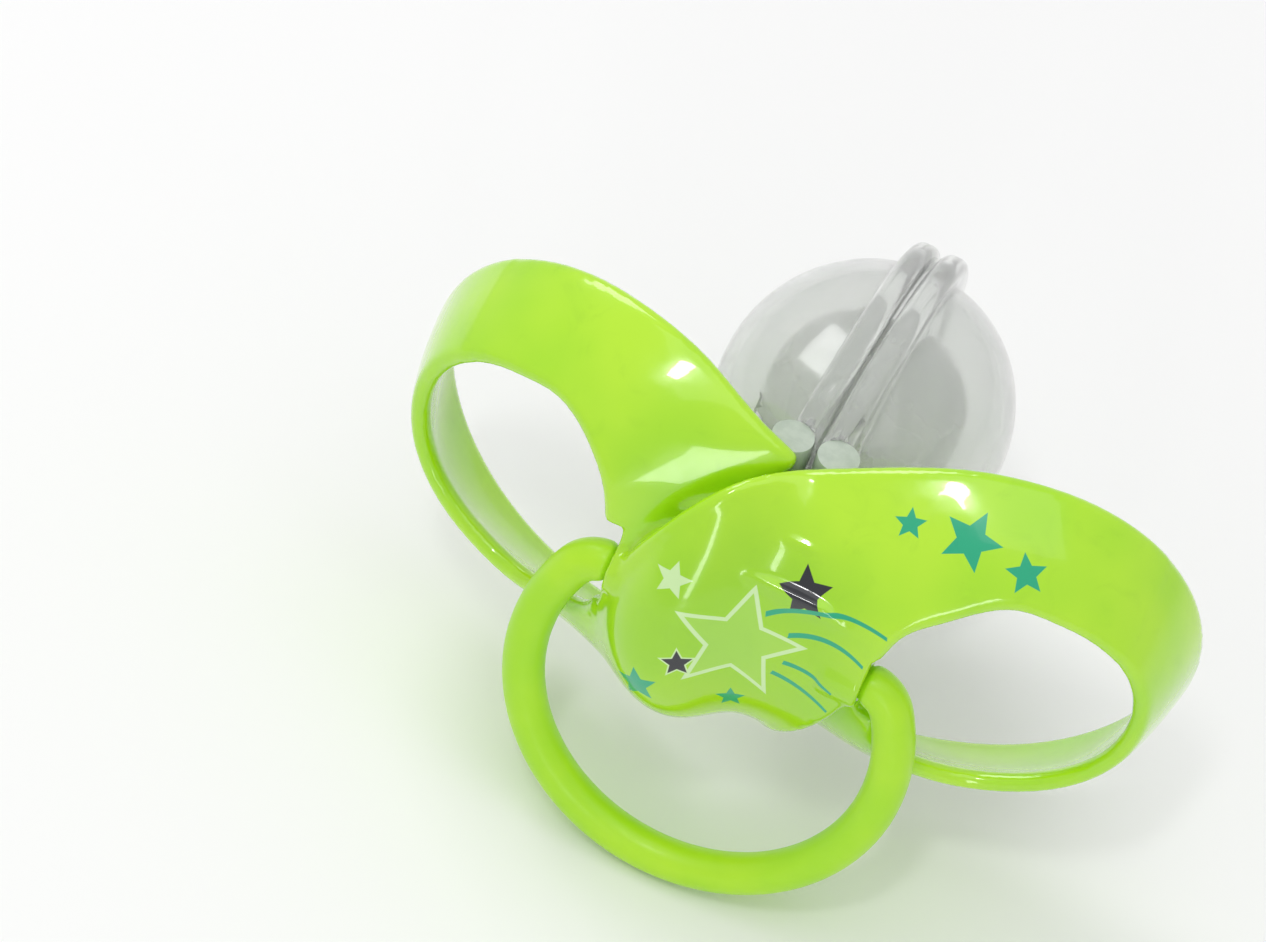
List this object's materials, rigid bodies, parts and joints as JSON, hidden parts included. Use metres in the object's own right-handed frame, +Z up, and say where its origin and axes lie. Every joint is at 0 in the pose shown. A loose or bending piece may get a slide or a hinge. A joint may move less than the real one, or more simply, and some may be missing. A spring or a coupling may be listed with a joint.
{
  "type": "pacifier",
  "caption": "Pacifier with looped wing shield, hanging ring handle and a clear two-door cover that closes round the nipple.",
  "frame": {"origin": "middle of the overall box in X and Y, at the lowest point of the hanging ring", "axes": "+X along the wings, +Y the way the nipple points, +Z up"},
  "size_m": [0.0674, 0.0523, 0.0422],
  "materials": {
    "shield_green": "glossy",
    "ring_green": "satin",
    "cradle_pale": "satin",
    "pin_steel": "brushed",
    "spring_steel": "brushed",
    "barrel_pale": "satin",
    "door_clear": "clear plastic",
    "nipple_silicone": "clear silicone",
    "plug_white": "matte"
  },
  "bodies": {
    "shield_body": {"shield": "shield_green", "hinge_cradle": "cradle_pale", "nipple": "nipple_silicone", "nipple_plug": "plug_white", "upper_right_pin": "pin_steel", "upper_left_pin": "pin_steel", "lower_right_pin": "pin_steel", "lower_left_pin": "pin_steel", "right_spring": "spring_steel", "left_spring": "spring_steel"},
    "ring": {"ring_handle": "ring_green"},
    "right_cover": {"right_door": "door_clear", "upper_right_barrel": "barrel_pale", "lower_right_barrel": "barrel_pale"},
    "left_cover": {"left_door": "door_clear", "upper_left_barrel": "barrel_pale", "lower_left_barrel": "barrel_pale"}
  },
  "joints": [
    {"name": "ring_swing", "type": "hinge", "parent": "shield_body", "child": "ring", "pos_m": [0, -0.0188, 0.0253], "axis": [1, 0, 0], "range_deg": [-100, 8]},
    {"name": "right_door_swing", "type": "hinge", "parent": "shield_body", "child": "right_cover", "pos_m": [0.00195, -0.0098, 0.0253], "axis": [0, 0, 1], "range_deg": [-65, 0], "stiffness_Nm_per_rad": 0.002, "springref_deg": 28.65},
    {"name": "left_door_swing", "type": "hinge", "parent": "shield_body", "child": "left_cover", "pos_m": [-0.00195, -0.0098, 0.0253], "axis": [0, 0, 1], "range_deg": [0, 65], "stiffness_Nm_per_rad": 0.002, "springref_deg": -28.65}
  ]
}
